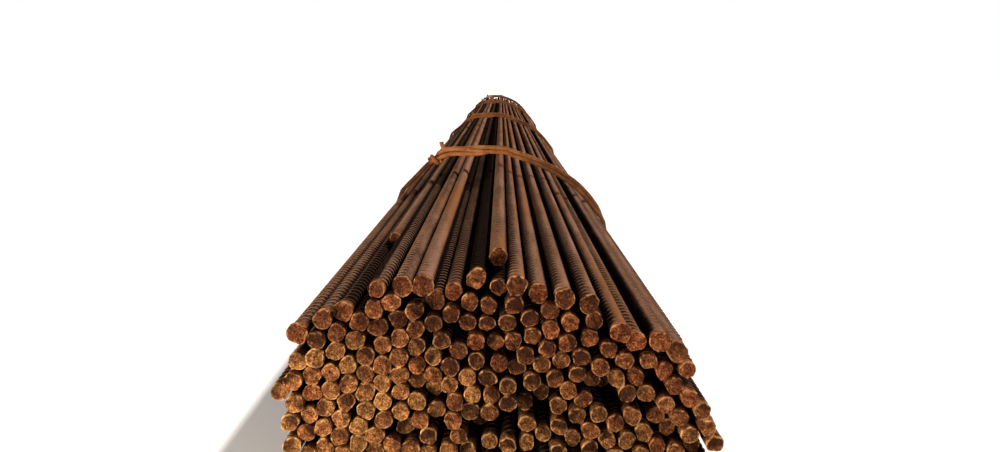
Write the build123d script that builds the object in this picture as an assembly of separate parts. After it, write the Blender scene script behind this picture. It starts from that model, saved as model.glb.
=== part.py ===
from build123d import *
import math
import os

# A bundle of ribbed reinforcing bars lying on a level floor, held by four
# doubled ties of wire rod. Bars run along Y, the seen end is at -Y, Z is up.
# Each bar is a plain round of its nominal diameter here.

BAR_D = 16.0            # nominal bar diameter
BAR_LEN = 6000.0        # stock length
TIE_D = 8.0             # wire rod of the ties
TIE_GAP = 0.3           # clearance between a tie and the bars it touches
STRAND_Y = 4.2          # half spacing of a tie's two strands
TIE_POS = (800.0, 2265.0, 3735.0, 5200.0)   # ties behind the nominal front face
TIE_SLACK = (1.0, 0.945, 0.975, 0.932)         # how far each loop stands off the top of the pile
SLACK_PIVOT = (0.0, 120.0)
# Points that the loose top of a loop is drawn over, (x, z), left to right
ARCH = ((-126, 204), (-106, 214), (-88, 219), (-57, 218.5), (-3, 216.5), (33, 214.5), (67, 204),
        (103, 185), (131, 169), (151, 150.5), (169, 123))
EYE_AT = 22.0           # the eye's place, left of the fifth point
LIFT = 9.0              # how far the free ends step outward to lie over the eye
STEP_R = 15.0           # bend radius of that step
TAIL_R = 9.0            # bend radius of the tails
# Per tie: the end that stands up (run, bend in degrees, free length), then the end that lies along the shoulder
TAILS = (((4.0, 96.0, 8.0), (16.0, 32.0, 12.0)),
         ((6.0, 70.0, 7.0), (10.0, 55.0, 10.0)),
         ((2.0, 84.0, 11.0), (20.0, 25.0, 9.0)),
         ((5.0, 100.0, 6.0), (12.0, 40.0, 14.0)))

# Bars by node: (x, z) of the centre line, and how far the front end is set
# back from the nominal front face.
BARS = {
    "bars_top_1": [
        (-193.2, 100.9, 2), (-184.4, 73.3, -1), (-183.7, 51.6, -1), (-180.1, 112.3, -2), (-176.5, 128.5, 3),
        (-173.3, 156.1, -4), (-158.1, 149.3, -2), (-153.1, 166.5, 4),
    ],
    "bars_top_2": [
        (-136.8, 171.4, 10), (-124, 182, 263), (-108.6, 175.4, 2), (-106.6, 191.9, 5), (-93.4, 181.9, 1),
        (-84.3, 195.8, 3), (-65.9, 198.6, -5), (-57.1, 180.1, 14),
    ],
    "bars_top_3": [
        (-41.6, 186.9, 18), (-27.5, 177.7, 16), (-21, 199.1, 16), (-11, 176, 13), (-2.7, 206.7, 62),
        (-2.1, 190.1, 20), (13.6, 195.8, 2), (32.2, 188, 7), (42, 174.5, 2),
    ],
    "bars_top_4": [
        (53.4, 187.3, -4), (59.3, 164.4, -1), (75.8, 181.6, -2), (76.8, 149, 4), (79.8, 165.5, 2), (93, 139.1, 2),
        (102.7, 156.2, -3), (116.4, 146.9, 2),
    ],
    "bars_top_5": [
        (127.9, 129.6, 2), (135.9, 149.4, -5), (152.6, 137.1, 3), (161.4, 121.6, 0), (163.8, 95.9, 0), (180, 31, -1),
        (180.7, 99.8, 120), (181.2, 68.4, -1), (188.2, 53.4, -1),
    ],
    "bars_side_left": [
        (-169.4, 25.5, -3), (-170, 42.1, 0), (-171.3, 63.1, 2), (-168, 79.7, 1), (-179.1, 92, -2),
        (-160.1, 132.7, 0),
    ],
    "bars_side_right": [
        (171.5, 45.5, 15), (175.5, 84, -1), (151.3, 106.9, 1),
    ],
    "bars_bottom": [
        (-155.6, 16.3, 2), (-143, 27.1, 0), (-130.3, 16.3, -6), (-113.7, 16.3, 8), (-104.3, 30, -5),
        (-94.8, 16.3, 4), (-78.2, 16.3, 0), (-61.6, 16.3, -4), (-45, 16.3, -1), (-31.9, 26.5, -4), (-18.8, 16.3, -7),
        (-2.1, 16.3, -6), (14.5, 16.3, -3), (31.1, 16.3, -7), (47.7, 16.3, 6), (64.3, 16.6, -3), (80.9, 16.3, 1),
        (91.8, 28.9, 3), (102.6, 16.3, 8), (112.5, 29.8, -1), (122.3, 16.3, -4), (138.9, 16.3, 1), (155.5, 16.3, 1),
        (172.1, 16.3, -5),
    ],
    "bars_core_1": [
        (-10.5, 30.7, 0), (6.2, 30.7, -2), (22.8, 30.7, 0), (39.4, 30.7, -7), (-121.8, 30.8, 4), (-53.5, 30.8, -2),
        (163.3, 31, 2), (-87.7, 31.3, -2), (141.1, 32.8, -6), (65.6, 33.1, -5), (51.5, 42.1, 6), (123.7, 42.1, 1),
        (101.6, 42.3, -5), (-29.7, 43, 9), (-139.8, 43.4, -1), (-64.1, 43.7, 1), (-111.7, 44.8, 5), (154.6, 45.1, 1),
    ],
    "bars_core_2": [
        (78.9, 45.2, 5), (-46.3, 45.8, 1), (-10.3, 47.3, 17), (6.3, 47.3, 8), (23.1, 47.3, 14), (-79.9, 49, -1),
        (-155.2, 49.8, 0), (138.4, 49.8, 2), (-96.3, 51.7, -1), (-126.2, 53, 2), (64.1, 53, 14), (37.8, 55.3, 17),
        (110.8, 56.1, 0), (93.6, 56.9, 1), (-36.7, 59.4, 2), (-141.3, 60, 0), (-63.9, 60.3, 0), (-20.1, 60.8, 40),
    ],
    "bars_core_3": [
        (166.2, 61.2, 1), (-110.7, 61.4, 0), (126.6, 61.5, 5), (149.6, 62.1, 14), (6.8, 63.9, 61), (78.6, 64.2, 2),
        (51.9, 64.3, 11), (-84.8, 64.9, 11), (23.4, 65.6, 14), (-155.5, 68.6, -1), (-125.2, 69.6, 0),
        (100.1, 72.1, 0), (137.6, 74, 14), (-41.9, 75.2, -1), (-70.7, 75.4, -1), (-102.8, 76.1, 0),
        (-140.2, 76.6, 0), (67.7, 76.8, 5),
    ],
    "bars_core_4": [
        (155.9, 78.2, -1), (114.9, 79.8, -1), (-9.9, 80.3, 5), (85.6, 80.4, 0), (51.6, 80.9, 17), (-26.6, 81.5, 5),
        (21.5, 82.1, 25), (-87.7, 83, 0), (-56.2, 83.6, 2), (-117.8, 84.5, 0), (-153.1, 87.2, 0), (36.8, 88.6, 31),
        (6.3, 88.9, 2), (143.9, 89.7, 0), (-40.4, 91.7, 2), (-73.6, 91.8, 1), (-135.1, 92.4, 0), (-103.3, 92.7, 1),
        (72.7, 92.7, 5),
    ],
    "bars_core_5": [
        (94.3, 94.9, 48), (-8.5, 96.9, 3), (-25.1, 98.4, 3), (126.9, 98.4, 4), (110.3, 99.2, 2), (-164.2, 99.7, 1),
        (-88.3, 99.7, 5), (-59.1, 100, 17), (-117.9, 101.1, 0), (58.9, 102, 0), (-147.9, 103.1, 0), (5.7, 105.5, 3),
        (80.5, 107.4, 17), (-44.5, 107.8, 0), (-73.5, 108.4, 11), (-103.2, 109.3, 1), (-132.4, 109.4, -1),
        (27.3, 110.5, 0),
    ],
    "bars_core_6": [
        (-12.1, 113.1, 3), (47, 113.6, 0), (100.1, 113.9, 0), (117.5, 114.2, 3), (-29.1, 114.5, 1),
        (-88.1, 116.3, 1), (-163.6, 116.4, 2), (-58.7, 116.6, 0), (66.8, 116.9, 2), (-117.5, 117.7, 1),
        (-147.2, 119.8, -1), (13.7, 120.1, 11), (141.8, 120.5, 1), (85.9, 124, 0), (-44.1, 124.5, 0),
        (-73.1, 125, 4), (35.2, 125.3, 5), (-102.8, 125.9, 0),
    ],
    "bars_core_7": [
        (-1.8, 126.1, 5), (-131.7, 126.3, -1), (-20.9, 128.9, 2), (52.1, 129.5, 5), (107, 130.2, -1),
        (-87.7, 132.9, -1), (-58.6, 133.3, 2), (69.5, 133.4, 0), (-117.1, 134.3, 1), (21.5, 134.8, 0),
        (-142.8, 138.7, 2), (-37, 139.5, 0), (40.1, 141.2, -1), (-73, 141.7, 4), (-5.2, 142.4, 12),
        (-102.8, 142.7, 5), (-21.5, 145.7, 4), (56.9, 146.3, 0),
    ],
    "bars_core_8": [
        (10.8, 147.6, 1), (-51.2, 148.1, 0), (-125.5, 148.6, 3), (-87.6, 149.5, 3), (27, 151.5, 1),
        (-140.9, 155.2, 1), (42.5, 157.8, 0), (-73.4, 158.3, 0), (-105.8, 159, 6), (-12.2, 159.4, 13),
        (-29, 160.5, 12), (5.7, 163.4, 4), (-57.6, 163.5, 1), (-121.4, 164.8, 2), (-88.1, 166.1, 5),
        (24.6, 167.9, 0), (-42.5, 170.3, 6), (-73.6, 174.9, -1), (11.4, 179, 0),
    ],
}

BAR_R = BAR_D / 2
TIE_R = TIE_D / 2
OFFSET = BAR_R + TIE_GAP + TIE_R      # tie centre line from the centre of a bar it passes


def hull(points):
    """Convex hull, counter-clockwise."""
    pts = sorted(set(points))

    def half(seq):
        out = []
        for p in seq:
            while len(out) > 1 and (
                (out[-1][0] - out[-2][0]) * (p[1] - out[-2][1])
                - (out[-1][1] - out[-2][1]) * (p[0] - out[-2][0])
            ) <= 1e-9:
                out.pop()
            out.append(p)
        return out[:-1]

    return half(pts) + half(pts[::-1])


class Pen:
    """Draws tangent lines and arcs in a plane of constant y."""

    def __init__(self, x, z, heading, y):
        self.x, self.z, self.a, self.y = x, z, heading, y
        self.edges = []

    def point(self, x, z):
        return (x, self.y, z)

    def line(self, length):
        x, z = self.x + length * math.cos(self.a), self.z + length * math.sin(self.a)
        self.edges.append(Edge.make_line(self.point(self.x, self.z), self.point(x, z)))
        self.x, self.z = x, z

    def arc(self, radius, turn):
        side = 1 if turn > 0 else -1
        cx = self.x - side * radius * math.sin(self.a)
        cz = self.z + side * radius * math.cos(self.a)

        def at(a):
            return self.point(cx + side * radius * math.sin(a), cz - side * radius * math.cos(a))

        self.edges.append(
            Edge.make_three_point_arc(at(self.a), at(self.a + turn / 2), at(self.a + turn))
        )
        self.a += turn
        end = at(self.a)
        self.x, self.z = end[0], end[2]


def heading(p, q):
    return math.atan2(q[1] - p[1], q[0] - p[0])


def strand_edges(order, y, corners, tail):
    """One strand, from the eye round the bundle and back over the eye to its
    free end, which leaves after so many corners of the arch."""
    n = len(order)
    head = heading(order[0], order[1])
    ex = order[0][0] + math.cos(head) * EYE_AT + OFFSET * math.sin(head)
    ez = order[0][1] + math.sin(head) * EYE_AT - OFFSET * math.cos(head)
    pen = Pen(ex, ez, head, y)
    pen.line(math.dist(order[0], order[1]) - EYE_AT)
    for j in range(1, n):
        a, b, c = order[j - 1], order[j], order[(j + 1) % n]
        pen.arc(OFFSET, (heading(b, c) - heading(a, b)) % (2 * math.pi))
        if j < n - 1:
            pen.line(math.dist(b, c))
    # step outward, then lie over the eye
    t = math.acos(1 - LIFT / (2 * STEP_R))
    pen.arc(STEP_R, -t)
    pen.arc(STEP_R, t)
    pen.line(math.dist(order[-1], order[0]) - 2 * STEP_R * math.sin(t))
    for j in range(corners):
        a, b, c = order[j - 1], order[j], order[j + 1]
        pen.arc(OFFSET + LIFT, (heading(b, c) - heading(a, b)) % (2 * math.pi))
        if j < corners - 1:
            pen.line(math.dist(b, c))
    run, bend, free = tail
    pen.line(run)
    pen.arc(TAIL_R, -math.radians(bend))
    pen.line(free)
    return pen.edges, (ex, ez), head


def tie(index):
    k = TIE_SLACK[index]
    cx, cz = SLACK_PIVOT
    arch = [(cx + k * (x - cx), cz + k * (z - cz)) for x, z in ARCH]
    centres = [(x, z) for rows in BARS.values() for x, z, _ in rows]
    ring = hull(centres + arch)
    first = ring.index(arch[4])
    order = ring[first:] + ring[:first]
    up, low = TAILS[index]
    one, eye, head = strand_edges(order, -STRAND_Y, 3, up)
    two, _, _ = strand_edges(order, STRAND_Y, 4, low)
    # the eye joins the two strands with a half turn
    bend = Edge.make_three_point_arc(
        (eye[0], -STRAND_Y, eye[1]),
        (eye[0] - STRAND_Y * math.cos(head), 0, eye[1] - STRAND_Y * math.sin(head)),
        (eye[0], STRAND_Y, eye[1]),
    )
    path = Wire([*one, bend, *two])
    start = path @ 0
    section = Plane(origin=start, z_dir=path % 0) * Circle(TIE_R)
    solid = sweep(section, path=path)
    return solid.moved(Location((0, TIE_POS[index], 0)))


def bar(x, z, back):
    return Solid.make_cylinder(BAR_R, BAR_LEN, Plane(origin=(x, back, z), z_dir=(0, 1, 0)))


nodes = {name: Compound([bar(*row) for row in rows]) for name, rows in BARS.items()}
for i in range(len(TIE_POS)):
    nodes[f"tie_wire_{i + 1}"] = tie(i)

# origin at the middle of the footprint, on the floor
box = Compound(list(nodes.values())).bounding_box()
shift = Location((-(box.min.X + box.max.X) / 2, -(box.min.Y + box.max.Y) / 2, -box.min.Z))

os.makedirs("parts", exist_ok=True)
for name, shape in nodes.items():
    export_step(shape.moved(shift), f"parts/{name}.step")
print("shift", tuple(round(v, 3) for v in shift.position), "size", box.size)
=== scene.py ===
import math

import bpy
import numpy as np
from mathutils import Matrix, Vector


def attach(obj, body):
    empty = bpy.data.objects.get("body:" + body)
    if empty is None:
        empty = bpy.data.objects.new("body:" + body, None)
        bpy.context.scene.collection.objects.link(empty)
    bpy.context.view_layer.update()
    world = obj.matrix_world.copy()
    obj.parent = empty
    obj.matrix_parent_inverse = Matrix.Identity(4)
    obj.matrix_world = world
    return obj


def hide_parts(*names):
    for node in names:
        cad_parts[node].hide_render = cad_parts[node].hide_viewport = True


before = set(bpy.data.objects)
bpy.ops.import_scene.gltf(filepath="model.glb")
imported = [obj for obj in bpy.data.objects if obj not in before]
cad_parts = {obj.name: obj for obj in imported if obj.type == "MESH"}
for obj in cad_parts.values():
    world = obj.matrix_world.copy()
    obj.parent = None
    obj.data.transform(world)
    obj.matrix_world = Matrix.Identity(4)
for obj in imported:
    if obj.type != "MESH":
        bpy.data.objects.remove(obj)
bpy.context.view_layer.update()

# Everything below is in millimetres until a mesh is made. X is across the
# bundle, Y along the bars (seen end at -Y), Z up from the floor.
MM = 0.001
SHIFT = np.array((2.5, -3128.0, 0.0))     # from the bar table's axes to the part's frame
BAR_LEN = 6000.0
CORE_R = 7.4           # bar between the ribs
END_R = 8.45           # spread of the sheared ends
RIB_H = 1.1            # rib crest over the core
RIB_PITCH = 9.8
RIB_SPAN = math.radians(64)    # half the arc that one rib covers
RIB_LEAN = 5.6         # how far along the bar a rib's tips lie from its middle
TIE_R = 4.0
OFFSET = 8.0 + 0.3 + TIE_R
STRAND_Y = 4.2
TIE_POS = (800.0, 2265.0, 3735.0, 5200.0)
TIE_SLACK = (1.0, 0.945, 0.975, 0.932)
SLACK_PIVOT = (0.0, 120.0)
ARCH = ((-126, 204), (-106, 214), (-88, 219), (-57, 218.5), (-3, 216.5), (33, 214.5), (67, 204),
        (103, 185), (131, 169), (151, 150.5), (169, 123))
EYE_AT, LIFT, STEP_R, TAIL_R = 22.0, 9.0, 15.0, 9.0
TAILS = (((4.0, 96.0, 7.4), (16.0, 32.0, 12.0)),
         ((6.0, 70.0, 7.0), (10.0, 55.0, 10.0)),
         ((2.0, 84.0, 11.0), (20.0, 25.0, 9.0)),
         ((5.0, 100.0, 6.0), (12.0, 40.0, 14.0)))

# Bars by node: (x, z) of the centre line, set-back of the front end
BARS = {
    "bars_top_1": [
        (-193.2, 100.9, 2), (-184.4, 73.3, -1), (-183.7, 51.6, -1), (-180.1, 112.3, -2), (-176.5, 128.5, 3),
        (-173.3, 156.1, -4), (-158.1, 149.3, -2), (-153.1, 166.5, 4),
    ],
    "bars_top_2": [
        (-136.8, 171.4, 10), (-124, 182, 263), (-108.6, 175.4, 2), (-106.6, 191.9, 5), (-93.4, 181.9, 1),
        (-84.3, 195.8, 3), (-65.9, 198.6, -5), (-57.1, 180.1, 14),
    ],
    "bars_top_3": [
        (-41.6, 186.9, 18), (-27.5, 177.7, 16), (-21, 199.1, 16), (-11, 176, 13), (-2.7, 206.7, 62),
        (-2.1, 190.1, 20), (13.6, 195.8, 2), (32.2, 188, 7), (42, 174.5, 2),
    ],
    "bars_top_4": [
        (53.4, 187.3, -4), (59.3, 164.4, -1), (75.8, 181.6, -2), (76.8, 149, 4), (79.8, 165.5, 2), (93, 139.1, 2),
        (102.7, 156.2, -3), (116.4, 146.9, 2),
    ],
    "bars_top_5": [
        (127.9, 129.6, 2), (135.9, 149.4, -5), (152.6, 137.1, 3), (161.4, 121.6, 0), (163.8, 95.9, 0), (180, 31, -1),
        (180.7, 99.8, 120), (181.2, 68.4, -1), (188.2, 53.4, -1),
    ],
    "bars_side_left": [
        (-169.4, 25.5, -3), (-170, 42.1, 0), (-171.3, 63.1, 2), (-168, 79.7, 1), (-179.1, 92, -2),
        (-160.1, 132.7, 0),
    ],
    "bars_side_right": [
        (171.5, 45.5, 15), (175.5, 84, -1), (151.3, 106.9, 1),
    ],
    "bars_bottom": [
        (-155.6, 16.3, 2), (-143, 27.1, 0), (-130.3, 16.3, -6), (-113.7, 16.3, 8), (-104.3, 30, -5),
        (-94.8, 16.3, 4), (-78.2, 16.3, 0), (-61.6, 16.3, -4), (-45, 16.3, -1), (-31.9, 26.5, -4), (-18.8, 16.3, -7),
        (-2.1, 16.3, -6), (14.5, 16.3, -3), (31.1, 16.3, -7), (47.7, 16.3, 6), (64.3, 16.6, -3), (80.9, 16.3, 1),
        (91.8, 28.9, 3), (102.6, 16.3, 8), (112.5, 29.8, -1), (122.3, 16.3, -4), (138.9, 16.3, 1), (155.5, 16.3, 1),
        (172.1, 16.3, -5),
    ],
    "bars_core_1": [
        (-10.5, 30.7, 0), (6.2, 30.7, -2), (22.8, 30.7, 0), (39.4, 30.7, -7), (-121.8, 30.8, 4), (-53.5, 30.8, -2),
        (163.3, 31, 2), (-87.7, 31.3, -2), (141.1, 32.8, -6), (65.6, 33.1, -5), (51.5, 42.1, 6), (123.7, 42.1, 1),
        (101.6, 42.3, -5), (-29.7, 43, 9), (-139.8, 43.4, -1), (-64.1, 43.7, 1), (-111.7, 44.8, 5), (154.6, 45.1, 1),
    ],
    "bars_core_2": [
        (78.9, 45.2, 5), (-46.3, 45.8, 1), (-10.3, 47.3, 17), (6.3, 47.3, 8), (23.1, 47.3, 14), (-79.9, 49, -1),
        (-155.2, 49.8, 0), (138.4, 49.8, 2), (-96.3, 51.7, -1), (-126.2, 53, 2), (64.1, 53, 14), (37.8, 55.3, 17),
        (110.8, 56.1, 0), (93.6, 56.9, 1), (-36.7, 59.4, 2), (-141.3, 60, 0), (-63.9, 60.3, 0), (-20.1, 60.8, 40),
    ],
    "bars_core_3": [
        (166.2, 61.2, 1), (-110.7, 61.4, 0), (126.6, 61.5, 5), (149.6, 62.1, 14), (6.8, 63.9, 61), (78.6, 64.2, 2),
        (51.9, 64.3, 11), (-84.8, 64.9, 11), (23.4, 65.6, 14), (-155.5, 68.6, -1), (-125.2, 69.6, 0),
        (100.1, 72.1, 0), (137.6, 74, 14), (-41.9, 75.2, -1), (-70.7, 75.4, -1), (-102.8, 76.1, 0),
        (-140.2, 76.6, 0), (67.7, 76.8, 5),
    ],
    "bars_core_4": [
        (155.9, 78.2, -1), (114.9, 79.8, -1), (-9.9, 80.3, 5), (85.6, 80.4, 0), (51.6, 80.9, 17), (-26.6, 81.5, 5),
        (21.5, 82.1, 25), (-87.7, 83, 0), (-56.2, 83.6, 2), (-117.8, 84.5, 0), (-153.1, 87.2, 0), (36.8, 88.6, 31),
        (6.3, 88.9, 2), (143.9, 89.7, 0), (-40.4, 91.7, 2), (-73.6, 91.8, 1), (-135.1, 92.4, 0), (-103.3, 92.7, 1),
        (72.7, 92.7, 5),
    ],
    "bars_core_5": [
        (94.3, 94.9, 48), (-8.5, 96.9, 3), (-25.1, 98.4, 3), (126.9, 98.4, 4), (110.3, 99.2, 2), (-164.2, 99.7, 1),
        (-88.3, 99.7, 5), (-59.1, 100, 17), (-117.9, 101.1, 0), (58.9, 102, 0), (-147.9, 103.1, 0), (5.7, 105.5, 3),
        (80.5, 107.4, 17), (-44.5, 107.8, 0), (-73.5, 108.4, 11), (-103.2, 109.3, 1), (-132.4, 109.4, -1),
        (27.3, 110.5, 0),
    ],
    "bars_core_6": [
        (-12.1, 113.1, 3), (47, 113.6, 0), (100.1, 113.9, 0), (117.5, 114.2, 3), (-29.1, 114.5, 1),
        (-88.1, 116.3, 1), (-163.6, 116.4, 2), (-58.7, 116.6, 0), (66.8, 116.9, 2), (-117.5, 117.7, 1),
        (-147.2, 119.8, -1), (13.7, 120.1, 11), (141.8, 120.5, 1), (85.9, 124, 0), (-44.1, 124.5, 0),
        (-73.1, 125, 4), (35.2, 125.3, 5), (-102.8, 125.9, 0),
    ],
    "bars_core_7": [
        (-1.8, 126.1, 5), (-131.7, 126.3, -1), (-20.9, 128.9, 2), (52.1, 129.5, 5), (107, 130.2, -1),
        (-87.7, 132.9, -1), (-58.6, 133.3, 2), (69.5, 133.4, 0), (-117.1, 134.3, 1), (21.5, 134.8, 0),
        (-142.8, 138.7, 2), (-37, 139.5, 0), (40.1, 141.2, -1), (-73, 141.7, 4), (-5.2, 142.4, 12),
        (-102.8, 142.7, 5), (-21.5, 145.7, 4), (56.9, 146.3, 0),
    ],
    "bars_core_8": [
        (10.8, 147.6, 1), (-51.2, 148.1, 0), (-125.5, 148.6, 3), (-87.6, 149.5, 3), (27, 151.5, 1),
        (-140.9, 155.2, 1), (42.5, 157.8, 0), (-73.4, 158.3, 0), (-105.8, 159, 6), (-12.2, 159.4, 13),
        (-29, 160.5, 12), (5.7, 163.4, 4), (-57.6, 163.5, 1), (-121.4, 164.8, 2), (-88.1, 166.1, 5),
        (24.6, 167.9, 0), (-42.5, 170.3, 6), (-73.6, 174.9, -1), (11.4, 179, 0),
    ],
}

# How single bars on top of the pile lie and look, by (x, z): direction of the
# smooth band between the two rows of ribs in degrees (90 is up), overall tone,
# the shape of the cut end (width, height, turn in degrees), its size against
# the usual, how dark its face is painted as shade, how light the rib crests are
# (rubbed, with a painted highlight), and the direction of its side or sides
# painted black as shade
SPECIAL = {
    (-173.3, 156.1): dict(band=178, tone=0.66, end=(1.10, 0.98, 35), size=1.24, crest=1.3, shaded_side=-36),
    (-153.1, 166.5): dict(band=155, tone=0.66, crest=1.3, shaded_side=(190, -40)),
    (-136.8, 171.4): dict(band=140, tone=0.56, crest=1.2, shaded_side=(184, 5)),
    (-124, 182): dict(band=120, tone=0.74, size=0.98, end_shade=0.75),
    (-106.6, 191.9): dict(band=118, tone=0.60, end=(0.86, 1.06, -12), size=0.88, end_shade=0.50, crest=1.5, shaded_side=172, fade=(90, 320, 0.0)),
    # painted shade: dark all along, low in the channel under its neighbours
    (-108.6, 175.4): dict(band=100, tone=-0.45, size=1.0),
    (-84.3, 195.8): dict(band=42, tone=0.55, end_shade=0.80, hue=0.0),
    (-65.9, 198.6): dict(band=50, tone=0.84, size=1.16, end_shade=0.66, hue=0.0),
    # painted shade on the body and a painted highlight on the rib crests
    (-57.1, 180.1): dict(band=128, tone=-0.10, crest=1.8),
    (-41.6, 186.9): dict(band=170, tone=0.34, size=1.0, end_shade=0.40),
    # painted shade: dark all along, beside a higher neighbour
    (-21, 199.1): dict(band=20, tone=-0.45, end=(0.95, 1.20, 4), end_shade=0.25, hue=0.2),
    (-2.7, 206.7): dict(band=52, tone=0.60, end_shade=0.44),
    (13.6, 195.8): dict(band=38, tone=0.64),
    (32.2, 188): dict(band=62, tone=0.70),
    (53.4, 187.3): dict(band=58, tone=0.70),
    (75.8, 181.6): dict(band=46, tone=0.69),
    (102.7, 156.2): dict(band=72, tone=0.70, end=(1.14, 0.9, -15)),
    (116.4, 146.9): dict(band=28, tone=0.66),
    (135.9, 149.4): dict(band=118, tone=0.74, shaded_side=200),
    (152.6, 137.1): dict(band=100, tone=0.70),
}


# Bars down both sides that lie shut against each other, with flatter ribs
SHUT = {
    (151.3, 106.9), (143.9, 89.7), (163.8, 95.9), (155.9, 78.2), (175.5, 84), (181.2, 68.4), (166.2, 61.2),
    (188.2, 53.4), (171.5, 45.5), (-183.7, 51.6), (-170, 42.1),
}
SHUT_R = 7.9


class Soup:
    """Triangles with per-point values, gathered into one mesh."""

    def __init__(self):
        self.v, self.f, self.smooth, self.n = [], [], [], 0
        self.val = {"tone": [], "cut": [], "rib": [], "hue": [], "rim": [], "dim": []}

    def add(self, verts, tris, smooth, tone=0.5, cut=0.0, rib=0.0, hue=0.5, rim=0.0, dim=0.0):
        verts = np.asarray(verts, float).reshape(-1, 3)
        tris = np.asarray(tris, int).reshape(-1, 3)
        self.v.append(verts)
        self.f.append(tris + self.n)
        self.smooth.append(np.full(len(tris), smooth) if np.isscalar(smooth) else smooth)
        for k, a in (("tone", tone), ("cut", cut), ("rib", rib), ("hue", hue), ("rim", rim), ("dim", dim)):
            self.val[k].append(np.broadcast_to(np.asarray(a, float), (len(verts),)))
        self.n += len(verts)

    def object(self, name, material):
        v = (np.concatenate(self.v) + SHIFT) * MM
        f = np.concatenate(self.f)
        me = bpy.data.meshes.new(name)
        me.vertices.add(len(v))
        me.vertices.foreach_set("co", v.astype(np.float32).ravel())
        me.loops.add(f.size)
        me.loops.foreach_set("vertex_index", f.astype(np.int32).ravel())
        me.polygons.add(len(f))
        me.polygons.foreach_set("loop_start", np.arange(0, f.size, 3, dtype=np.int32))
        me.polygons.foreach_set("use_smooth", np.concatenate(self.smooth).astype(bool))
        for k, parts in self.val.items():
            me.attributes.new(k, "FLOAT", "POINT").data.foreach_set(
                "value", np.concatenate(parts).astype(np.float32)
            )
        me.update(calc_edges=True)
        me.materials.append(material)
        ob = bpy.data.objects.new(name, me)
        bpy.context.scene.collection.objects.link(ob)
        return ob


def grid_tris(rows, sides):
    """Outward triangles of a tube of rings listed along +Y."""
    out = []
    j = np.arange(sides)
    k = (j + 1) % sides
    for i in range(rows - 1):
        a, b = i * sides + j, i * sides + k
        d, c = a + sides, b + sides
        out += [np.stack((a, d, c), 1), np.stack((a, c, b), 1)]
    return np.concatenate(out)


def cut_outline(rng, phi, end, room, size):
    """Outline of a sheared end, as a radius by angle, that keeps off its neighbours."""
    w, h, turn = end
    t = math.radians(turn)
    f = 1.0 / np.sqrt((np.cos(phi - t) / w) ** 2 + (np.sin(phi - t) / h) ** 2)
    f = f * (1 + 0.035 * rng.uniform(0.2, 1) * np.cos(3 * phi + rng.uniform(0, 6.3)))
    f = f * (1 + 0.020 * np.cos(5 * phi + rng.uniform(0, 6.3)))
    for _ in range(rng.integers(2, 6)):
        a, c = rng.uniform(0, 2 * math.pi), rng.uniform(0.80, 0.98)
        d = np.cos(phi - a)
        f = np.where(d > 0.3, np.minimum(f, c / np.maximum(d, 0.3)), f)
    f = f * (1 + rng.normal(0, 0.016, len(phi)))
    return np.minimum(size * f, room)


def free_room(x, z, phi):
    """How far a bar's end may reach at each angle before it meets the next bar's."""
    rel = ALL - (x, z)
    d = np.hypot(rel[:, 0], rel[:, 1])
    near = (d > 1) & (d < 24)
    room = np.full(len(phi), 10.0)
    for (dx, dz), dist in zip(rel[near], d[near]):
        c = np.cos(phi - math.atan2(dz, dx))
        room = np.where(c > 0.2, np.minimum(room, (dist / 2 - 0.03) / np.maximum(c, 0.2)), room)
    return room


def torn(rng, px, pz):
    """Lumpy relief of a cut face over points in its plane."""
    out = np.zeros_like(px)
    for wave, size, count in ((11.0, 0.42, 3), (5.5, 0.26, 4), (3.0, 0.15, 5)):
        for _ in range(count):
            a, q = rng.uniform(0, 2 * math.pi), rng.uniform(0, 2 * math.pi)
            k = 2 * math.pi / (wave * rng.uniform(0.75, 1.3))
            out += size * rng.uniform(0.4, 1.0) / math.sqrt(count) * 1.4 * np.cos(k * (px * math.cos(a) + pz * math.sin(a)) + q)
    return out


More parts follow.
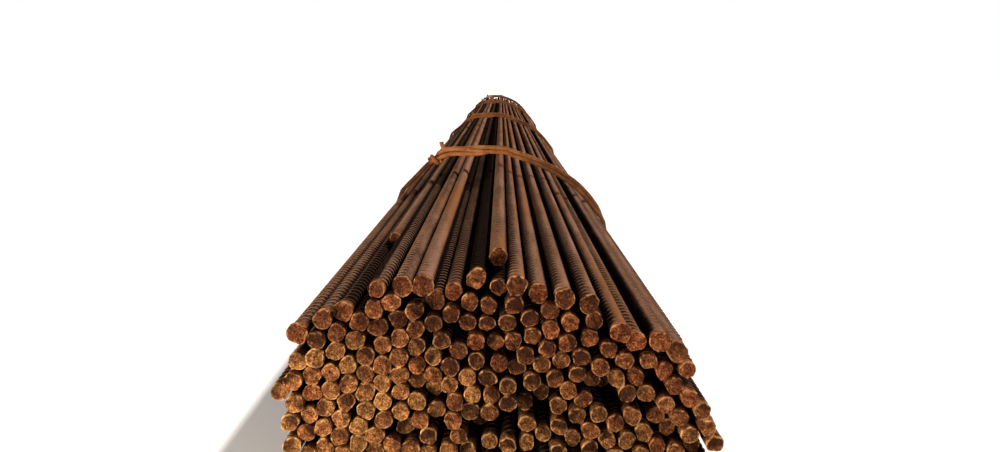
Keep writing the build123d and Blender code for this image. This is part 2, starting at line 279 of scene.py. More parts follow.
def bar_end(rng, phi, end, room, size, core, torn_and_shadow_dark, fine):
    """Rings of a sheared end, from the cut's middle out and then along the bar:
    radius and depth by angle, how much each ring counts as cut and as its rim,
    and how dark each point is: the torn side darker, partly torn scale and partly
    painted shadow, and painted light falling off away from about the lower left."""
    sides = len(phi)
    edge_r = cut_outline(rng, phi, end, room, size)
    lip, lw = rng.uniform(0, 2 * math.pi), rng.uniform(0.35, 0.9)
    gap = np.abs((phi - lip + math.pi) % (2 * math.pi) - math.pi)
    burr = np.exp(-((gap / lw) ** 2))
    roll = np.exp(-(((math.pi - gap) / 0.9) ** 2))
    if rng.random() < 0.55:
        edge_r = np.minimum(edge_r + rng.uniform(0.2, 1.1) * burr, room)
    tilt = math.tan(math.radians(min(abs(rng.normal(0, 5.5)), 13)))
    where = rng.uniform(0, 2 * math.pi)
    dish = rng.uniform(-0.7, 1.0)
    step = rng.uniform(0.4, 1.3) * (rng.random() < 0.6)
    across, at = math.radians(95) + 1.5 * rng.uniform(-1, 1), rng.uniform(-3.0, 3.0)
    # the side beyond the step is darker: partly torn scale, partly painted shadow
    dark = torn_and_shadow_dark * rng.random() ** 2
    # painted light: the face lighter towards about its lower left
    slope, toward = rng.uniform(0.05, 0.26), math.radians(215) + rng.normal(0, 0.9)
    rhos = (0.0, 0.16, 0.32, 0.48, 0.64, 0.80, 0.93, 1.0) if fine else (0.0, 0.4, 0.75, 1.0)
    rings = []
    for rho in rhos:
        r = edge_r * rho
        if 0 < rho < 0.95:
            r = r * (1 + rng.normal(0, 0.03, sides))
        px, pz = r * np.cos(phi), r * np.sin(phi)
        depth = tilt * (px * math.cos(where) + pz * math.sin(where)) + dish * (1 - rho * rho)
        beyond = 1 / (1 + np.exp(-(px * math.cos(across) + pz * math.sin(across) - at) / 0.5))
        depth = depth + step * beyond
        depth = depth + torn(np.random.default_rng(int(lip * 1e6)), px, pz)
        if rho > 0.9:
            depth = depth - rng.uniform(0.2, 1.0) * burr + rng.uniform(0.3, 1.0) * roll * rho
        if 0 < rho < 0.97:
            depth = depth + rng.normal(0, 0.20, sides)
        if rho == 0:
            depth[:] = depth.mean()
        rim = 1.0 if rho == 1 else 0.30 if rho > 0.9 else 0.0
        rings.append([r, depth, 1.0, rim, beyond * dark - slope * rho * np.cos(phi - toward) + rng.normal(0, 0.08, sides)])
    low = min(ring[1].min() for ring in rings)
    for ring in rings:
        ring[1] = ring[1] - low + 0.05
    edge = rings[-1][1]
    rings[-1][0] = edge_r * 0.97
    skin = lambda k: core + (edge_r - core) * k
    none = np.zeros(sides)
    # painted highlight: the bevel counts as rim and is lighter
    rings.append([edge_r, edge + 0.8, 1.0, 0.8, none - 0.2])
    if fine:
        rings.append([skin(0.8), edge * 0.7 + 4.6, 0.80, 0.0, none - 0.2])
        rings.append([skin(0.3), edge * 0.3 + 11.0, 0.42, 0.0, none - 0.1])
        rings.append([np.full(sides, core), np.full(sides, 24.0), 0.0, 0.0, none])
    else:
        rings.append([skin(0.4), edge * 0.3 + 9.0, 0.3, 0.0, none])
        rings.append([np.full(sides, core), np.full(sides, 22.0), 0.0, 0.0, none])
    return rings


RIB_U = (np.array((-0.34, 0.34)), np.array((-0.56, 0.0, 0.56)), np.array((-0.8, -0.45, 0.0, 0.45, 0.8)))


def rib_tris(nodes, width):
    """Closed crescent of `nodes` sections with `width` points each, and a tip at either end."""
    out = []
    at = lambda i, k: 1 + i * width + k
    last = 1 + nodes * width
    for k in range(width - 1):
        out.append((0, at(0, k + 1), at(0, k)))
        out.append((at(nodes - 1, k), at(nodes - 1, k + 1), last))
    out.append((0, at(0, 0), at(0, width - 1)))
    out.append((at(nodes - 1, 0), last, at(nodes - 1, width - 1)))
    for i in range(nodes - 1):
        for k in range(width - 1):
            a, b, c, d = at(i, k), at(i, k + 1), at(i + 1, k + 1), at(i + 1, k)
            out += [(a, b, c), (a, c, d)]
        a, b, c, d = at(i, 0), at(i + 1, 0), at(i + 1, width - 1), at(i, width - 1)
        out += [(a, b, c), (a, c, d)]
    return np.array(out)


RIB_TRIS = (rib_tris(2, 3), rib_tris(3, 3), rib_tris(5, 4))


def ribs(soup, rng, x, z, y0, core, s, centre, lean, tone, shut, crest_wear_and_highlight, hue, level):
    """Crescent ribs at stations s along a bar, over the arc about `centre`."""
    if not len(s):
        return
    u = RIB_U[level]
    k = len(s)
    grow = rng.uniform(0.85, 1.05, k)[:, None]
    phi = centre + RIB_SPAN * u[None] + rng.normal(0, 0.015, k)[:, None]
    along = s[:, None] + lean * RIB_LEAN * u[None]
    crest = core + (CORE_R + RIB_H - core) * grow * (1 - u[None] ** 2) ** 0.6
    half = 0.55 + 1.65 * (1 - u[None] ** 2) ** 0.5 + 0 * s[:, None]
    base = core - 0.34
    if level == 2:
        profile = ((base, -1.0), (None, -0.3), (None, 0.3), (base, 1.0))
    else:
        profile = ((base, -1.0), (None, 0.0), (base, 1.0))
    cols = []
    for r, side in profile:
        rad = crest if r is None else np.full_like(crest, r)
        cols.append(np.stack((x + rad * np.cos(phi), y0 + along + side * half, z + rad * np.sin(phi)), -1))
    body = np.stack(cols, 2)                       # ribs, sections, points, xyz
    tips = []
    for sign in (-1, 1):
        p = centre + sign * RIB_SPAN
        q = s + lean * RIB_LEAN * sign
        tips.append(np.stack((np.full(k, x + base * math.cos(p)), y0 + q, np.full(k, z + base * math.sin(p))), -1))
    verts = np.concatenate((tips[0][:, None], body.reshape(k, -1, 3), tips[1][:, None]), 1)
    per = verts.shape[1]
    # painted highlight on each rib's crest, painted shade at its foot and tips
    high = np.full(per, -0.6)
    w = len(profile)
    for i in range(len(u)):
        for c, (r, _) in enumerate(profile):
            high[1 + i * w + c] = 1.0 if r is None else -1.6
    tris = RIB_TRIS[level][None] + (np.arange(k) * per)[:, None, None]
    verts = verts.reshape(-1, 3)
    # painted shade: ribs darker, with less crest highlight, where the bar is shut in by others
    shaded = shut(np.arctan2(verts[:, 2] - z, verts[:, 0] - x))
    high = np.tile(high, k)
    high = np.where(high > 0, high * (1 - 0.75 * shaded) * crest_wear_and_highlight, high)
    soup.add(verts, tris.reshape(-1, 3), False, np.repeat(tone, per) - SHADE_DARK * shaded, 0.0, high, hue)


ALL = np.array([(x, z) for rows in BARS.values() for x, z, _ in rows])
OPEN_STEP = 8
SHADE_DARK = 0.9             # painted shade: how much darker the skin is where no light gets in
VALLEY = 0.24          # and painted shade between the ribs


def open_directions(x, z):
    """Angles, in degrees, in which nothing stands outside this bar."""
    found = []
    rel = ALL - (x, z)
    rel = rel[np.hypot(rel[:, 0], rel[:, 1]) > 1]
    for a in range(0, 360, OPEN_STEP):
        c, s = math.cos(math.radians(a)), math.sin(math.radians(a))
        t, side = rel @ (c, s), np.abs(rel @ (-s, c))
        if not np.any((t > 0) & (side < 7.0)):
            found.append(a)
    return found


def buried(x, z):
    """How far each side of a bar is shut in by others, from 0 to 1, as a function of angle."""
    step = math.radians(OPEN_STEP)
    free = np.radians(open_directions(x, z))
    at = np.arange(0, 2 * math.pi, step)
    lit = np.maximum(0, np.cos(at[:, None] - free[None])).sum(1)
    lit /= np.maximum(0, np.cos(at)).sum()
    k = np.clip((lit - 0.14) / 0.46, 0, 1)
    shut = 1 - k * k * (3 - 2 * k)
    return lambda phi: np.interp(phi % (2 * math.pi), np.r_[at, 2 * math.pi], np.r_[shut, shut[0]])


def make_bar(soup, seed, x, z, back, outer):
    rng = np.random.default_rng(seed)
    spec = SPECIAL.get((x, z), {})
    band = math.radians(spec.get("band", rng.uniform(0, 180)))
    tone = spec.get("tone", float(np.clip(rng.normal(0.5, 0.13), 0.15, 0.85)))
    # painted shade: the bars inside the bundle and along its bottom are darker
    if not outer:
        tone = 0.15
    elif not spec and z > 112 and -165 < x < 150:
        tone = -0.18                  # painted shade: dark all along, low between the bars above it
    # ends low down and to the left are yellower, those up and to the right redder
    hue = float(np.clip(0.62 - (z - 40) / 300 - x / 900 + rng.normal(0, 0.17), 0, 1))
    if z > 150:
        hue = min(hue, 0.16)
    hue = spec.get("hue", hue)
    fade = spec.get("fade")           # from, to, and the tone beyond: painted shade further along
    shade = lambda s: np.interp(s, fade[:2], (tone, fade[2])) if fade else np.full(np.shape(s), tone)
    # painted shade on the cut end: darker in the middle of the face, up high and to
    # the right; lightest at the lower left
    mid = math.exp(-(((x - 5) / 70) ** 2) - ((z - 120) / 75) ** 2)
    end_shade = 0.12 - 0.09 * (x < -90 and z < 95) + 0.70 * mid + 0.20 * (x > 60) + rng.normal(0, 0.12 + 0.08 * (x < -90) + 0.14 * mid)
    end_shade += 0.56 * np.clip((z - 130) / 30, 0, 1) if x < -30 else 0.34 * (z > 165)
    end_shade = float(np.clip(spec.get("end_shade", end_shade), 0, 0.8))
    shut = buried(x, z) if outer else (lambda a: np.zeros(np.shape(a)))
    if "shaded_side" in spec:                # painted shade: one side of the bar, or two, is black
        shaded_side, clear = np.radians(np.atleast_1d(spec["shaded_side"])), shut
        shut = lambda a: np.maximum(clear(a), np.clip((np.cos(np.subtract.outer(shaded_side, a)).max(0) + 0.05) / 0.35, 0, 1))
    sides = 24
    phi = np.arange(sides) * 2 * math.pi / sides + rng.uniform(0, 1)
    room = free_room(x, z, phi)
    core = SHUT_R if (x, z) in SHUT else CORE_R
    size = spec.get("size", 1.09) if spec else 1.0 - 0.07 * np.clip((x + 115) / 70, 0, 1)
    ends = []
    for e in range(2):
        shape = spec.get("end") if e == 0 else None
        if shape is None:
            q = rng.uniform(0.92, 1.08)
            shape = (q, rng.uniform(0.92, 1.04) / q, rng.uniform(0, 180))
        ends.append(bar_end(rng, phi, shape, room, END_R * size, core, 0.35 if spec else 0.95, e == 0))
    front, rear = ends
    rear = rear[::-1]
    none = np.zeros(sides)
    middle = [(np.full(sides, core), np.full(sides, d), 0.0, 0.0, none) for d in (fade[0], fade[1])] if fade else []
    rings = front + middle + [(r, BAR_LEN - d, c, m, k) for r, d, c, m, k in rear]
    n = len(rings)
    verts = np.stack(
        [np.stack((x + r * np.cos(phi), back + s, z + r * np.sin(phi)), -1) for r, s, _, _, _ in rings]
    ).reshape(-1, 3)
    cut = np.repeat([ring[2] for ring in rings], sides)
    rim = np.repeat([ring[3] for ring in rings], sides)
    dim = np.clip(end_shade + np.concatenate([ring[4] for ring in rings]), 0, 1)
    tris = grid_tris(n, sides)
    per = 2 * sides
    smooth = np.zeros(len(tris), bool)
    smooth[8 * per:(n - 5) * per] = True
    # the middle ring of each cut is one point
    tris = np.where(tris < sides, 0, tris)
    last = (n - 1) * sides
    tris = np.where(tris >= last, last, tris)
    good = (tris[:, 0] != tris[:, 1]) & (tris[:, 1] != tris[:, 2]) & (tris[:, 0] != tris[:, 2])
    tris, smooth = tris[good], smooth[good]
    used = np.unique(tris)
    new = np.zeros(len(verts), int)
    new[used] = np.arange(len(used))
    # painted shade: skin darker on the sides shut in by other bars, and over the rows of ribs
    rows = np.cos(2 * (phi - band - math.pi / 2)) * 0.5 + 0.5
    skin_tone = shade(verts[:, 1] - back) - np.tile(SHADE_DARK * shut(phi) + VALLEY * rows, n)
    soup.add(verts[used], new[tris], smooth, skin_tone[used], cut[used], 0.0, hue, rim[used], dim[used])
    # ribs in two rows
    openings = open_directions(x, z) if outer else []
    crest_wear_and_highlight = spec.get("crest", float(np.clip((tone + 0.5) / 0.9, 0.15, 1)))
    start = rng.uniform(7.0, 7.0 + RIB_PITCH)
    for row, turn in enumerate((90, -90)):
        centre = band + math.radians(turn)
        s = np.arange(start + row * RIB_PITCH * 0.5, BAR_LEN - 7.0, RIB_PITCH)
        s = s + rng.normal(0, 0.12, len(s))
        s = s[(s > 8.0) & (s < BAR_LEN - 8.0)]
        facing = any(
            abs((a - math.degrees(centre) + 180) % 360 - 180) < 62 and 12 < a % 360 < 175 or
            abs((a - math.degrees(centre) + 180) % 360 - 180) < 40 and not 200 < a % 360 < 340
            for a in openings
        )
        lean = 1.0 if row == 0 else -1.0
        if facing:
            y = s + back
            for level, pick in ((2, y < 620), (1, (y >= 620) & (y < 1900) | (y > 5300)), (0, (y >= 1900) & (y <= 5300))):
                ribs(soup, rng, x, z, back, core, s[pick], centre, lean, shade(s[pick]), shut, crest_wear_and_highlight, hue, level)
        else:
            reach = 330 if outer else 64
            ribs(soup, rng, x, z, back, core, s[s < reach], centre, lean, shade(s[s < reach]), shut, crest_wear_and_highlight, hue, 1)
            ribs(soup, rng, x, z, back, core, s[s > BAR_LEN - 40], centre, lean, shade(s[s > BAR_LEN - 40]), shut, crest_wear_and_highlight, hue, 1)


# ---------------------------------------------------------------- ties
def hull(points):
    pts = sorted(set(points))

    def half(seq):
        out = []
        for p in seq:
            while len(out) > 1 and (
                (out[-1][0] - out[-2][0]) * (p[1] - out[-2][1])
                - (out[-1][1] - out[-2][1]) * (p[0] - out[-2][0])
            ) <= 1e-9:
                out.pop()
            out.append(p)
        return out[:-1]

    return half(pts) + half(pts[::-1])


class Pen:
    """Points along tangent lines and arcs, with the heading at each."""

    def __init__(self, x, z, a):
        self.x, self.z, self.a = x, z, a
        self.pts = [(x, z, a)]

    def line(self, length):
        n = max(1, int(length / 5.0))
        for i in range(1, n + 1):
            d = length * i / n
            self.pts.append((self.x + d * math.cos(self.a), self.z + d * math.sin(self.a), self.a))
        self.x, self.z = self.pts[-1][:2]

    def arc(self, radius, turn):
        side = 1 if turn > 0 else -1
        cx, cz = self.x - side * radius * math.sin(self.a), self.z + side * radius * math.cos(self.a)
        n = max(2, int(radius * abs(turn) / 2.5))
        a0 = self.a
        for i in range(1, n + 1):
            a = a0 + turn * i / n
            self.pts.append((cx + side * radius * math.sin(a), cz - side * radius * math.cos(a), a))
        self.a = a0 + turn
        self.x, self.z = self.pts[-1][:2]


def heading(p, q):
    return math.atan2(q[1] - p[1], q[0] - p[0])


def strand(order, y, corners, tail, wrap, low, snug):
    n = len(order)
    head = heading(order[0], order[1])
    pen = Pen(
        order[0][0] + math.cos(head) * EYE_AT + OFFSET * math.sin(head),
        order[0][1] + math.sin(head) * EYE_AT - OFFSET * math.cos(head),
        head,
    )
    pen.line(math.dist(order[0], order[1]) - EYE_AT)
    for j in range(1, n):
        a, b, c = order[j - 1], order[j], order[(j + 1) % n]
        pen.arc(OFFSET, (heading(b, c) - heading(a, b)) % (2 * math.pi))
        if j < n - 1:
            pen.line(math.dist(b, c))
    t = math.acos(1 - LIFT / (2 * STEP_R))
    pen.arc(STEP_R, -t)
    pen.arc(STEP_R, t)
    pen.line(math.dist(order[-1], order[0]) - 2 * STEP_R * math.sin(t))
    for j in range(corners):
        a, b, c = order[j - 1], order[j], order[j + 1]
        pen.arc(OFFSET + LIFT, (heading(b, c) - heading(a, b)) % (2 * math.pi))
        if j < corners - 1:
            pen.line(math.dist(b, c))
    run, bend, free = tail
    if not wrap:
        pen.line(run)
        pen.arc(TAIL_R, -math.radians(bend))
        pen.line(free)
    p = np.array(pen.pts)
    pts = np.stack((p[:, 0], np.full(len(p), y), p[:, 1]), 1)
    # the two strands roll about each other a little over the loose top
    x, z = pts[:, 0], pts[:, 2]
    late = np.arange(len(p)) > len(p) // 2
    top = np.clip((z - low) / 34, 0, 1) * np.clip((x + 74) / 44, 0, 1) * late
    inward = snug * np.clip((x - 95) / 40, 0, 1) * np.clip((z - low) / 34, 0, 1) * late
    roll = math.radians(72) * top * top * (3 - 2 * top)
    nx, nz = np.sin(p[:, 2]), -np.cos(p[:, 2])
    y = y * (1 - 0.09 * top)
    pts[:, 1] = y * np.cos(roll)
    pts[:, 0] += nx * (y * np.sin(roll) - inward)
    pts[:, 2] += nz * (y * np.sin(roll) - inward)
    if wrap:
        # the free end winds once round both strands and stands off
        a = pen.a
        d, out = np.array((math.cos(a), 0, math.sin(a))), np.array((math.sin(a), 0, -math.cos(a)))
        mid = np.array((pen.x, 0, pen.z)) - out * LIFT
        q = np.linspace(0.03, 1, 40)[:, None]
        psi = np.radians(66 - 392 * q)
        turn = mid + d * (3 + 13.5 * q) + out * 8.9 * np.sin(psi) + np.array((0, 1, 0)) * 12.6 * np.cos(psi)
        go = turn[-1] - turn[-3]
        go /= np.linalg.norm(go)
        aim = go * 0.45 + out * 0.7 + d * 0.45
        aim /= np.linalg.norm(aim)
        k = np.linspace(0, 1, 7)[1:, None]
        end = turn[-1] + (go * (k - k * k / 2) + aim * k * k / 2) * (free + 6)
        pts = np.concatenate((pts, turn, end))
    return pts, (pen.pts[0][0], pen.pts[0][1]), head


def resample(path, step):
    d = np.r_[0, np.cumsum(np.linalg.norm(np.diff(path, axis=0), axis=1))]
    keep = np.r_[True, np.diff(d) > 1e-6]
    d, path = d[keep], path[keep]
    t = np.linspace(0, d[-1], max(2, int(d[-1] / step)))
    return np.stack([np.interp(t, d, path[:, i]) for i in range(3)], 1)


def soften(path, reach):
    """Gaussian smoothing along the path, ends held."""
    w = np.exp(-0.5 * (np.arange(-3 * reach, 3 * reach + 1) / reach) ** 2)
    w /= w.sum()
    m = 3 * reach
    padded = np.concatenate((2 * path[0] - path[m:0:-1], path, 2 * path[-1] - path[-2:-m - 2:-1]))
    return np.stack([np.convolve(padded[:, i], w, "valid") for i in range(3)], 1)


def tube(soup, path, radius, sides, tone, hue):
    n = len(path)
    tan = np.gradient(path, axis=0)
    tan /= np.linalg.norm(tan, axis=1)[:, None]
    side = np.cross(tan[0], (0, 1, 0.3))
    side /= np.linalg.norm(side)
    rings = []
    ang = np.arange(sides) * 2 * math.pi / sides
    for i in range(n):
        side = side - tan[i] * (side @ tan[i])
        side /= np.linalg.norm(side)
        up = np.cross(tan[i], side)
        rings.append(path[i] + radius[i] * (np.cos(ang)[:, None] * side + np.sin(ang)[:, None] * up))
    verts = np.concatenate(rings)
    j = np.arange(sides)
    k = (j + 1) % sides
    tris = []
    for i in range(n - 1):
        a, b = i * sides + j, i * sides + k
        d, c = a + sides, b + sides
        tris += [np.stack((a, b, c), 1), np.stack((a, c, d), 1)]
    tris = np.concatenate(tris)
    cut = np.zeros(len(verts))
    soup.add(verts, tris, True, np.repeat(tone, sides), cut, 0.0, hue)
    for ring, at, flip, tn in ((rings[0], path[0], True, tone[0]), (rings[-1], path[-1], False, tone[-1])):
        v = np.concatenate((ring, [at]))
        t = np.stack((j, k, np.full(sides, sides)), 1)
        if flip:
            t = t[:, ::-1]
        soup.add(v, t, False, tn, 1.0, 0.0, hue)


def make_tie(index, material):
    rng = np.random.default_rng(900 + index)
    k = TIE_SLACK[index]
    cx, cz = SLACK_PIVOT
    arch = [(cx + k * (x - cx), cz + k * (z - cz)) for x, z in ARCH]
    ring = hull([(x, z) for x, z in ALL.tolist()] + arch)
    first = ring.index(arch[4])
    order = ring[first:] + ring[:first]
    up, low = TAILS[index]
    lie = (106, 2.0) if index == 0 else (150, 0.0)
    one, eye, head = strand(order, -STRAND_Y, 3, up, False, *lie)
    two, _, _ = strand(order, STRAND_Y, 4, low, True, *lie)
    t = np.linspace(0, math.pi, 12)[1:-1]
    bend = np.stack(
        (eye[0] - STRAND_Y * np.sin(t) * math.cos(head), -STRAND_Y * np.cos(t), eye[1] - STRAND_Y * np.sin(t) * math.sin(head)), 1
    )
    path = np.concatenate((one[::-1], bend, two))
    path = soften(resample(path, 2.4 if index == 0 else 3.0), 2)
    d = np.arange(len(path))
    # over the loose top and right the rod runs in one sweep
    sweep = np.clip((path[:, 2] - 128) / 30, 0, 1) * np.clip((path[:, 0] - 2) / 30, 0, 1)
    path += (soften(path, 10) - path) * sweep[:, None]
    # and nowhere is it pressed into a bar
    rel = path[:, None, ::2] - ALL[None]
    dist = np.hypot(rel[..., 0], rel[..., 1])
    bar = dist.argmin(1)
    rel, dist = rel[d, bar], dist[d, bar]
    path[:, ::2] += rel * (np.maximum(0, 8.1 + TIE_R - dist) / dist)[:, None]
    radius = TIE_R * (1 - 0.035 * np.abs(np.sin(d * 0.37 + index)) - rng.uniform(0, 0.03, len(path)))
    # the eye is drawn in under the strands that lie over it
    nose = np.array((eye[0] - STRAND_Y * math.cos(head), 0, eye[1] - STRAND_Y * math.sin(head)))
    near = np.exp(-((np.linalg.norm(path - nose, axis=1) / 17) ** 2))
    inner = np.abs(d - np.argmin(np.linalg.norm(path - nose, axis=1))) < 30
    path[:, 2] += 4.2 * near * inner
    path[:, 1] *= 1 - 0.3 * near * inner
    radius = radius * (1 - 0.25 * near * inner)
    # painted shade: the rod darker where it runs down the left side
    tone = 0.5 - 0.62 * np.clip((-112 - path[:, 0]) / 24, 0, 1)
    path[:, 1] += TIE_POS[index]
    soup = Soup()
    tube(soup, path, radius, 12 if index == 0 else 10, tone, rng.uniform(0.3, 0.7))
    ob = soup.object(f"tie_wire_{index + 1}_rod", material)
    return ob


# ---------------------------------------------------------------- finishes
def node(tree, kind, **values):
    n = tree.nodes.new(kind)
    for k, v in values.items():
        if k.startswith("in_"):
            n.inputs[k[3:].replace("_", " ")].default_value = v
        else:
            setattr(n, k, v)
    return n


def ramp(tree, stops):
    n = tree.nodes.new("ShaderNodeValToRGB")
    e = n.color_ramp.elements
    while len(e) < len(stops):
        e.new(0.5)
    for i, (p, c) in enumerate(stops):
        e[i].position = p
        e[i].color = (*c, 1)
    return n


def noise(tree, vector, scale, detail, rough=0.55, distortion=0.0):
    n = tree.nodes.new("ShaderNodeTexNoise")
    n.inputs["Scale"].default_value = scale
    n.inputs["Detail"].default_value = detail
    n.inputs["Roughness"].default_value = rough
    n.inputs["Distortion"].default_value = distortion
    tree.links.new(vector, n.inputs["Vector"])
    return n


def mix(tree, fac, a, b, blend="MIX"):
    n = tree.nodes.new("ShaderNodeMix")
    n.data_type = "RGBA"
    n.blend_type = blend
    for sock, val in ((n.inputs[0], fac), (n.inputs[6], a), (n.inputs[7], b)):
        if isinstance(val, bpy.types.NodeSocket):
            tree.links.new(val, sock)
        elif isinstance(val, (int, float)):
            sock.default_value = val
        else:
            sock.default_value = (*val, 1)
    return n.outputs[2]


def math_node(tree, op, a, b=None, clamp=False):
    n = tree.nodes.new("ShaderNodeMath")
    n.operation = op
    n.use_clamp = clamp
    for sock, val in zip(n.inputs, (a, b)):
        if val is None:
            continue
        if isinstance(val, bpy.types.NodeSocket):
            tree.links.new(val, sock)
        else:
            sock.default_value = val
    return n.outputs[0]


def value(tree, name):
    return node(tree, "ShaderNodeAttribute", attribute_name=name).outputs["Fac"]


def rusty(name, skin, patch, crest, dark, red, yellow, rims):
    """Dry rust: a brown skin with darker scale and orange bloom, granular cut ends."""
    m = bpy.data.materials.new(name)
    m.use_nodes = True
    t = m.node_tree
    t.nodes.clear()
    out = t.nodes.new("ShaderNodeOutputMaterial")
    bsdf = t.nodes.new("ShaderNodeBsdfPrincipled")
    t.links.new(bsdf.outputs[0], out.inputs["Surface"])
    co = t.nodes.new("ShaderNodeTexCoord").outputs["Object"]
    stretch = node(t, "ShaderNodeMapping")
    stretch.inputs["Scale"].default_value = (1, 0.16, 1)
    t.links.new(co, stretch.inputs["Vector"])
    long = stretch.outputs[0]
    tone, cut, rib, hue, rim, dim = (value(t, k) for k in ("tone", "cut", "rib", "hue", "rim", "dim"))
    broad = noise(t, long, 55, 4, 0.6).outputs["Fac"]
    mid = noise(t, co, 230, 5, 0.66, 0.3).outputs["Fac"]
    fine = noise(t, co, 950, 3, 0.6).outputs["Fac"]
    # skin
    level = math_node(t, "ADD", math_node(t, "MULTIPLY", broad, 0.50), math_node(t, "MULTIPLY", mid, 0.50))
    level = math_node(t, "ADD", level, math_node(t, "MULTIPLY", math_node(t, "SUBTRACT", tone, 0.5), 0.42))
    level = math_node(t, "ADD", level, math_node(t, "MULTIPLY", math_node(t, "SUBTRACT", fine, 0.5), 0.24))
    r = ramp(t, skin)
    t.links.new(level, r.inputs[0])
    colour = r.outputs[0]
    bloom = noise(t, long, 15, 3, 0.55, 0.4).outputs["Fac"]
    bl = ramp(t, ((0.50, (0, 0, 0)), (0.66, (1, 1, 1))))
    t.links.new(bloom, bl.inputs[0])
    amount = math_node(t, "MULTIPLY", bl.outputs[0], math_node(t, "MULTIPLY", tone, 0.95, True))
    colour = mix(t, amount, colour, patch)
    # painted shade at the foot of each rib; the crests lighter, rubbed and with a painted highlight
    colour = mix(t, math_node(t, "MULTIPLY", math_node(t, "MAXIMUM", rib, 0.0), 0.75, True), colour, crest)
    foot = math_node(t, "MULTIPLY", math_node(t, "MAXIMUM", math_node(t, "MULTIPLY", rib, -1.0), 0.0), 0.85, True)
    colour = mix(t, foot, colour, dark)
    # cut ends
    grain = noise(t, co, 720, 4, 0.70, 0.6).outputs["Fac"]
    lump = noise(t, co, 190, 3, 0.6, 0.4).outputs["Fac"]
    g = math_node(t, "ADD", math_node(t, "MULTIPLY", grain, 0.64), math_node(t, "MULTIPLY", lump, 0.36))
    faces = []
    for stops in (red, yellow):
        rc = ramp(t, stops)
        t.links.new(g, rc.inputs[0])
        faces.append(rc.outputs[0])
    face = mix(t, hue, faces[0], faces[1])
    # painted shade on the cut ends: dim takes the face towards a dark blue-brown
    dusk = mix(t, 0.6, mix(t, 1.0, face, (0.17, 0.18, 0.25), "MULTIPLY"), (0.042, 0.016, 0.009))
    face = mix(t, dim, face, dusk)
    whole = math_node(t, "ADD", math_node(t, "MULTIPLY", hue, 0.2), -2.18)
    # painted highlight: patchy bright rims round the cut ends
    shine = math_node(t, "MULTIPLY", rim, math_node(t, "ADD", math_node(t, "MULTIPLY", lump, 5.0), whole), True)
    face = mix(t, shine, face, mix(t, hue, *rims))
    edge = math_node(t, "ADD", cut, math_node(t, "MULTIPLY", math_node(t, "SUBTRACT", mid, 0.5), 0.6))
    fac = node(t, "ShaderNodeMapRange")
    fac.inputs["From Min"].default_value = 0.2
    fac.inputs["From Max"].default_value = 0.8
    t.links.new(edge, fac.inputs["Value"])
    colour = mix(t, fac.outputs[0], colour, face)
    t.links.new(colour, bsdf.inputs["Base Color"])
    rough = node(t, "ShaderNodeMapRange")
    rough.inputs["To Min"].default_value = 0.66
    rough.inputs["To Max"].default_value = 0.95
    t.links.new(mid, rough.inputs["Value"])
    t.links.new(rough.outputs[0], bsdf.inputs["Roughness"])
    bsdf.inputs["Metallic"].default_value = 0.0
    bsdf.inputs["Specular IOR Level"].default_value = 0.0
    # relief of the scale and of the torn ends
    height = math_node(t, "ADD", math_node(t, "MULTIPLY", mid, 0.55), math_node(t, "MULTIPLY", fine, 0.3))
    height = math_node(t, "ADD", height, math_node(t, "MULTIPLY", math_node(t, "MULTIPLY", grain, cut), 1.6))
    bump = t.nodes.new("ShaderNodeBump")
    bump.inputs["Strength"].default_value = 1.0
    bump.inputs["Distance"].default_value = 0.0013
    t.links.new(height, bump.inputs["Height"])
    t.links.new(bump.outputs[0], bsdf.inputs["Normal"])
    return m


CUT_RED = ((0.375, (0.024, 0.008, 0.005)), (0.46, (0.118, 0.032, 0.014)), (0.53, (0.256, 0.072, 0.026)), (0.61, (0.545, 0.214, 0.084)))
CUT_YELLOW = ((0.375, (0.037, 0.015, 0.007)), (0.46, (0.172, 0.071, 0.026)), (0.53, (0.332, 0.150, 0.050)), (0.61, (0.660, 0.368, 0.138)))
RIMS = (0.680, 0.335, 0.142), (0.920, 0.540, 0.205)
bar_steel = rusty(
    "rusty_bar",
    ((0.20, (0.008, 0.005, 0.004)), (0.40, (0.046, 0.0235, 0.0150)), (0.52, (0.119, 0.0605, 0.0385)), (0.68, (0.204, 0.1055, 0.0680))),
    (0.175, 0.062, 0.018),
    (0.270, 0.146, 0.086),
    (0.008, 0.004, 0.003),
    CUT_RED, CUT_YELLOW, RIMS,
)
tie_rod = rusty(
    "rusty_wire_rod",
    ((0.24, (0.085, 0.030, 0.012)), (0.42, (0.235, 0.084, 0.030)), (0.55, (0.390, 0.152, 0.055)), (0.72, (0.510, 0.240, 0.108))),
    (0.430, 0.148, 0.044),
    (0.38, 0.16, 0.05),
    (0.03, 0.012, 0.005),
    CUT_RED, CUT_YELLOW, RIMS,
)

counts = {}
seed = 100
for name, rows in BARS.items():
    soup = Soup()
    outer = not name.startswith("bars_core") and name != "bars_bottom"
    for x, z, back in rows:
        seed += 1
        make_bar(soup, seed, x, z, float(back), outer)
    ob = soup.object(name + "_ribbed", bar_steel)
    counts[name] = len(ob.data.polygons)
    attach(ob, "root")
    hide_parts(name)
for i in range(4):
    ob = make_tie(i, tie_rod)
    counts[ob.name] = len(ob.data.polygons)
    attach(ob, "root")
    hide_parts(f"tie_wire_{i + 1}")
print("triangles", counts, sum(counts.values()))

# ---------------------------------------------------------------- stage
floor_mesh = bpy.data.meshes.new("floor")
floor_mesh.from_pydata([(-60, -60, 0), (60, -60, 0), (60, 60, 0), (-60, 60, 0)], [], [(0, 1, 2, 3)])
floor = bpy.data.objects.new("floor", floor_mesh)
bpy.context.scene.collection.objects.link(floor)
pale = bpy.data.materials.new("pale_floor")
pale.use_nodes = True
pb = pale.node_tree.nodes["Principled BSDF"]
pb.inputs["Base Color"].default_value = (0.80, 0.81, 0.83, 1)
pb.inputs["Roughness"].default_value = 0.95
pb.inputs["Specular IOR Level"].default_value = 0.0
floor_mesh.materials.append(pale)

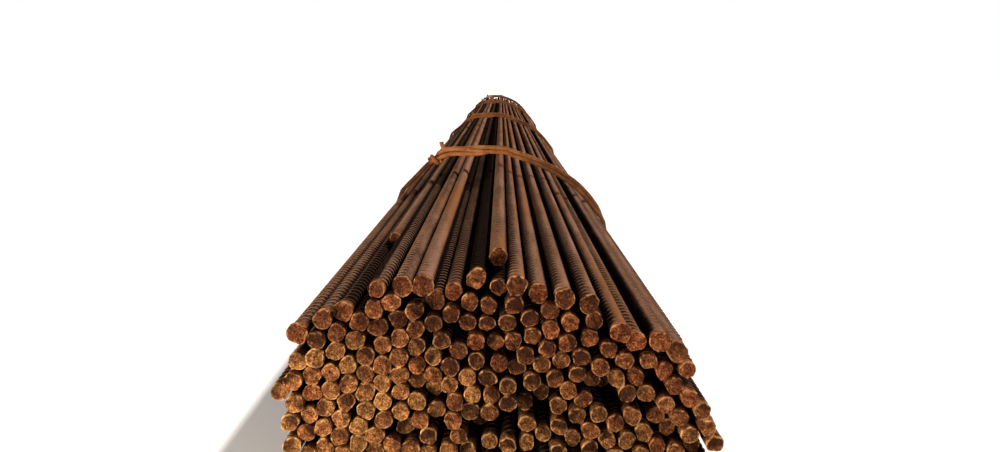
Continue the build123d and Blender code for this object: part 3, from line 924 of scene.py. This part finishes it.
# a white studio: bright round the horizon, dim overhead
world = bpy.data.worlds.new("studio")
bpy.context.scene.world = world
world.use_nodes = True
wt = world.node_tree
bg = wt.nodes["Background"]
up = wt.nodes.new("ShaderNodeSeparateXYZ")
wt.links.new(wt.nodes.new("ShaderNodeTexCoord").outputs["Generated"], up.inputs[0])
sky = ramp(wt, ((0.0, (1.0, 1.0, 1.0)), (0.11, (1.0, 1.0, 1.0)), (0.30, (0.30, 0.31, 0.33)), (1.0, (0.20, 0.21, 0.24))))
wt.links.new(up.outputs["Z"], sky.inputs[0])
wt.links.new(sky.outputs[0], bg.inputs["Color"])
bg.inputs["Strength"].default_value = 1.0

sun = bpy.data.lights.new("key", "SUN")
sun.energy = 8.2
sun.angle = math.radians(2.5)
sun.color = (1.0, 0.95, 0.87)
key = bpy.data.objects.new("key", sun)
bpy.context.scene.collection.objects.link(key)
key.rotation_euler = Vector((-0.66, -1.75, -1.0)).to_track_quat("-Z", "Y").to_euler()

soft = bpy.data.lights.new("front_fill", "AREA")
soft.energy = 8
soft.size = 1.4
soft.size_y = 0.5
soft.shape = "RECTANGLE"
soft.color = (1.0, 0.82, 0.60)
fill = bpy.data.objects.new("front_fill", soft)
bpy.context.scene.collection.objects.link(fill)
fill.location = (-1.5, -4.3, 0.35)
fill.rotation_euler = (Vector((0, -3.13, 0.08)) - Vector(fill.location)).to_track_quat("-Z", "Y").to_euler()

glow = bpy.data.lights.new("low_fill", "AREA")
glow.energy = 24
glow.size = 0.7
glow.size_y = 0.25
glow.shape = "RECTANGLE"
glow.color = (1.0, 0.84, 0.62)
low = bpy.data.objects.new("low_fill", glow)
bpy.context.scene.collection.objects.link(low)
low.location = (-0.78, -3.74, 0.10)
low.rotation_euler = (Vector((-0.2, -3.13, 0.05)) - Vector(low.location)).to_track_quat("-Z", "Y").to_euler()

cam = bpy.data.cameras.new("camera")
cam.sensor_fit = "HORIZONTAL"
cam.sensor_width = 36.0
cam.lens = 27.72
cam.shift_x = -0.001
cam.clip_start, cam.clip_end = 0.01, 200
camera = bpy.data.objects.new("camera", cam)
bpy.context.scene.collection.objects.link(camera)
camera.location = ((0.0 + SHIFT[0]) * MM, (-627.0 + SHIFT[1]) * MM, 0.3704)
camera.rotation_euler = (math.radians(90 - 10.95), 0, 0)
bpy.context.scene.camera = camera
bpy.context.scene.view_settings.view_transform = "Standard"
